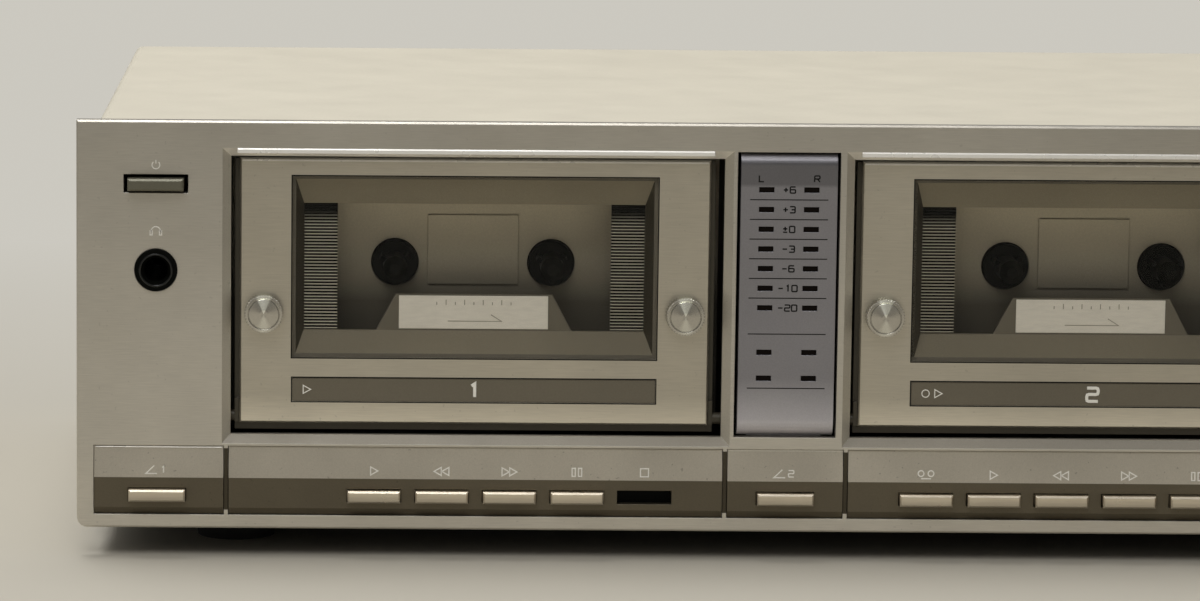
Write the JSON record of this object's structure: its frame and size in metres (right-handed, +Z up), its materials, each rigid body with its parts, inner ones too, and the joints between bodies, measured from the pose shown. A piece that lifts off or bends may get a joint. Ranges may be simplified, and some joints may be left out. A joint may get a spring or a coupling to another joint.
{
  "type": "double cassette recorder",
  "caption": "Wide low double cassette recorder with hinged windowed tape doors, a level meter between them, push keys below and a dual level knob.",
  "frame": {"origin": "middle of the overall box on the table under the feet", "axes": "+X to the right along the front panel, +Y from the front panel to the rear, +Z up"},
  "size_m": [0.42, 0.253, 0.118],
  "materials": {
    "panel_silver": "satin",
    "door_silver": "glossy silver",
    "cover_cream": "satin cream paint",
    "chassis_dark": "matt dark paint",
    "foot_rubber": "matt",
    "screw_steel": "plated",
    "block_taupe": "two-tone satin",
    "key_bright": "metallised",
    "meter_lilac": "glossy",
    "lens_dark": "tinted",
    "black_gloss": "glossy",
    "black_matt": "matt",
    "window_clear": "clear, lightly smoked",
    "holder_taupe": "satin",
    "aluminium": "turned",
    "wall_grey": "satin grey paint",
    "steel": "plain",
    "brass": "turned",
    "board_green": "lacquered",
    "core_iron": "varnished",
    "belt_rubber": "matt"
  },
  "bodies": {
    "cabinet": {"front_panel": "panel_silver", "bottom_chassis": "chassis_dark", "top_cover": "cover_cream", "rear_panel": "chassis_dark", "feet": "foot_rubber", "case_screws": "screw_steel", "key_strip_1": "block_taupe", "key_strip_2": "block_taupe", "end_blocks": "block_taupe", "meter_panel": "meter_lilac", "meter_lenses": "lens_dark", "phones_jack": "black_gloss", "power_switch": "black_matt", "level_control": "steel", "cassette_well_1": "black_matt", "cassette_well_2": "black_matt", "deck_wall_1": "wall_grey", "deck_wall_2": "wall_grey", "drive_motor": "steel", "drive_belts": "belt_rubber", "main_board": "board_green", "power_transformer": "core_iron", "phono_sockets": "black_gloss", "mains_gland": "foot_rubber"},
    "door_1": {"door_plate_1": "door_silver", "door_window_1": "window_clear", "cassette_holder_1": "holder_taupe", "thumbscrews_1": "aluminium"},
    "door_2": {"door_plate_2": "door_silver", "door_window_2": "window_clear", "cassette_holder_2": "holder_taupe", "thumbscrews_2": "aluminium"},
    "eject_key_1": {"eject_key_1": "key_bright"},
    "eject_key_2": {"eject_key_2": "key_bright"},
    "dubbing_key": {"dubbing_key": "key_bright"},
    "play_key_1": {"play_key_1": "key_bright"},
    "rewind_key_1": {"rewind_key_1": "key_bright"},
    "forward_key_1": {"forward_key_1": "key_bright"},
    "pause_key_1": {"pause_key_1": "key_bright"},
    "stop_lever_1": {"stop_lever_1": "black_matt"},
    "record_key_2": {"record_key_2": "key_bright"},
    "play_key_2": {"play_key_2": "key_bright"},
    "rewind_key_2": {"rewind_key_2": "key_bright"},
    "forward_key_2": {"forward_key_2": "key_bright"},
    "pause_key_2": {"pause_key_2": "key_bright"},
    "stop_key_2": {"stop_key_2": "key_bright"},
    "power_button": {"power_button": "key_bright"},
    "level_ring": {"level_ring": "aluminium"},
    "level_knob": {"level_knob": "aluminium"},
    "supply_spindle_1": {"supply_spindle_1": "black_matt"},
    "takeup_spindle_1": {"takeup_spindle_1": "black_matt"},
    "flywheel_1": {"flywheel_1": "steel"},
    "supply_spindle_2": {"supply_spindle_2": "black_matt"},
    "takeup_spindle_2": {"takeup_spindle_2": "black_matt"},
    "flywheel_2": {"flywheel_2": "steel"},
    "motor_pulley": {"motor_pulley": "brass"},
    "head_bridge_1": {"head_bridge_1": "steel"},
    "pinch_roller_1": {"pinch_roller_1": "belt_rubber"},
    "head_bridge_2": {"head_bridge_2": "steel"},
    "pinch_roller_2": {"pinch_roller_2": "belt_rubber"}
  },
  "joints": [
    {"name": "door_1_hinge", "type": "hinge", "parent": "cabinet", "child": "door_1", "pos_m": [-0.10355, -0.1065, 0.0379], "axis": [1, 0, 0], "range_deg": [0, 32]},
    {"name": "door_2_hinge", "type": "hinge", "parent": "cabinet", "child": "door_2", "pos_m": [0.06275, -0.1065, 0.0379], "axis": [1, 0, 0], "range_deg": [0, 32]},
    {"name": "eject_key_1_slide", "type": "slide", "parent": "cabinet", "child": "eject_key_1", "axis": [0, 1, 0], "range_m": [0, 0.003], "stiffness_N_per_m": 300, "springref_m": -0.001},
    {"name": "eject_key_2_slide", "type": "slide", "parent": "cabinet", "child": "eject_key_2", "axis": [0, 1, 0], "range_m": [0, 0.003], "stiffness_N_per_m": 300, "springref_m": -0.001},
    {"name": "dubbing_key_slide", "type": "slide", "parent": "cabinet", "child": "dubbing_key", "axis": [0, 1, 0], "range_m": [0, 0.003], "stiffness_N_per_m": 300, "springref_m": -0.001},
    {"name": "play_key_1_slide", "type": "slide", "parent": "cabinet", "child": "play_key_1", "axis": [0, 1, 0], "range_m": [0, 0.003], "stiffness_N_per_m": 300, "springref_m": -0.001},
    {"name": "rewind_key_1_slide", "type": "slide", "parent": "cabinet", "child": "rewind_key_1", "axis": [0, 1, 0], "range_m": [0, 0.003], "stiffness_N_per_m": 300, "springref_m": -0.001},
    {"name": "forward_key_1_slide", "type": "slide", "parent": "cabinet", "child": "forward_key_1", "axis": [0, 1, 0], "range_m": [0, 0.003], "stiffness_N_per_m": 300, "springref_m": -0.001},
    {"name": "pause_key_1_slide", "type": "slide", "parent": "cabinet", "child": "pause_key_1", "axis": [0, 1, 0], "range_m": [0, 0.003], "stiffness_N_per_m": 300, "springref_m": -0.001},
    {"name": "stop_lever_1_slide", "type": "slide", "parent": "cabinet", "child": "stop_lever_1", "axis": [0, 1, 0], "range_m": [0, 0.003], "stiffness_N_per_m": 300, "springref_m": -0.001},
    {"name": "record_key_2_slide", "type": "slide", "parent": "cabinet", "child": "record_key_2", "axis": [0, 1, 0], "range_m": [0, 0.003], "stiffness_N_per_m": 300, "springref_m": -0.001},
    {"name": "play_key_2_slide", "type": "slide", "parent": "cabinet", "child": "play_key_2", "axis": [0, 1, 0], "range_m": [0, 0.003], "stiffness_N_per_m": 300, "springref_m": -0.001},
    {"name": "rewind_key_2_slide", "type": "slide", "parent": "cabinet", "child": "rewind_key_2", "axis": [0, 1, 0], "range_m": [0, 0.003], "stiffness_N_per_m": 300, "springref_m": -0.001},
    {"name": "forward_key_2_slide", "type": "slide", "parent": "cabinet", "child": "forward_key_2", "axis": [0, 1, 0], "range_m": [0, 0.003], "stiffness_N_per_m": 300, "springref_m": -0.001},
    {"name": "pause_key_2_slide", "type": "slide", "parent": "cabinet", "child": "pause_key_2", "axis": [0, 1, 0], "range_m": [0, 0.003], "stiffness_N_per_m": 300, "springref_m": -0.001},
    {"name": "stop_key_2_slide", "type": "slide", "parent": "cabinet", "child": "stop_key_2", "axis": [0, 1, 0], "range_m": [0, 0.003], "stiffness_N_per_m": 300, "springref_m": -0.001},
    {"name": "power_button_slide", "type": "slide", "parent": "cabinet", "child": "power_button", "axis": [0, 1, 0], "range_m": [0, 0.003], "stiffness_N_per_m": 300, "springref_m": -0.001},
    {"name": "level_ring_turn", "type": "hinge", "parent": "cabinet", "child": "level_ring", "pos_m": [0.1696, -0.1175, 0.068], "axis": [0, 1, 0], "range_deg": [-150, 150]},
    {"name": "level_knob_turn", "type": "hinge", "parent": "cabinet", "child": "level_knob", "pos_m": [0.1696, -0.1175, 0.068], "axis": [0, 1, 0], "range_deg": [-150, 150]},
    {"name": "supply_spindle_1_spin", "type": "hinge", "parent": "cabinet", "child": "supply_spindle_1", "pos_m": [-0.1248, -0.0845, 0.0769], "axis": [0, 1, 0], "continuous": true},
    {"name": "takeup_spindle_1_spin", "type": "hinge", "parent": "cabinet", "child": "takeup_spindle_1", "pos_m": [-0.0823, -0.0845, 0.0769], "axis": [0, 1, 0], "continuous": true},
    {"name": "flywheel_1_spin", "type": "hinge", "parent": "cabinet", "child": "flywheel_1", "pos_m": [-0.07905, -0.0715, 0.0514], "axis": [0, 1, 0], "continuous": true},
    {"name": "supply_spindle_2_spin", "type": "hinge", "parent": "cabinet", "child": "supply_spindle_2", "pos_m": [0.0415, -0.0845, 0.0769], "axis": [0, 1, 0], "continuous": true},
    {"name": "takeup_spindle_2_spin", "type": "hinge", "parent": "cabinet", "child": "takeup_spindle_2", "pos_m": [0.084, -0.0845, 0.0769], "axis": [0, 1, 0], "continuous": true},
    {"name": "flywheel_2_spin", "type": "hinge", "parent": "cabinet", "child": "flywheel_2", "pos_m": [0.08725, -0.0715, 0.0514], "axis": [0, 1, 0], "continuous": true},
    {"name": "motor_pulley_spin", "type": "hinge", "parent": "cabinet", "child": "motor_pulley", "pos_m": [0.0041, -0.0715, 0.0514], "axis": [0, 1, 0], "continuous": true},
    {"name": "head_bridge_1_slide", "type": "slide", "parent": "cabinet", "child": "head_bridge_1", "axis": [0, 0, 1], "range_m": [0, 0.009], "stiffness_N_per_m": 150, "springref_m": -0.004},
    {"name": "pinch_roller_1_spin", "type": "hinge", "parent": "head_bridge_1", "child": "pinch_roller_1", "pos_m": [-0.07905, -0.0902, 0.03525], "axis": [0, 1, 0], "continuous": true},
    {"name": "head_bridge_2_slide", "type": "slide", "parent": "cabinet", "child": "head_bridge_2", "axis": [0, 0, 1], "range_m": [0, 0.009], "stiffness_N_per_m": 150, "springref_m": -0.004},
    {"name": "pinch_roller_2_spin", "type": "hinge", "parent": "head_bridge_2", "child": "pinch_roller_2", "pos_m": [0.08725, -0.0902, 0.03525], "axis": [0, 1, 0], "continuous": true}
  ],
  "couplings": [
    {"joint": "play_key_1_slide", "follows": "head_bridge_1_slide", "ratio": 0.33333},
    {"joint": "play_key_2_slide", "follows": "head_bridge_2_slide", "ratio": 0.33333},
    {"joint": "flywheel_2_spin", "follows": "flywheel_1_spin", "ratio": 1},
    {"joint": "motor_pulley_spin", "follows": "flywheel_1_spin", "ratio": 4.6522}
  ]
}
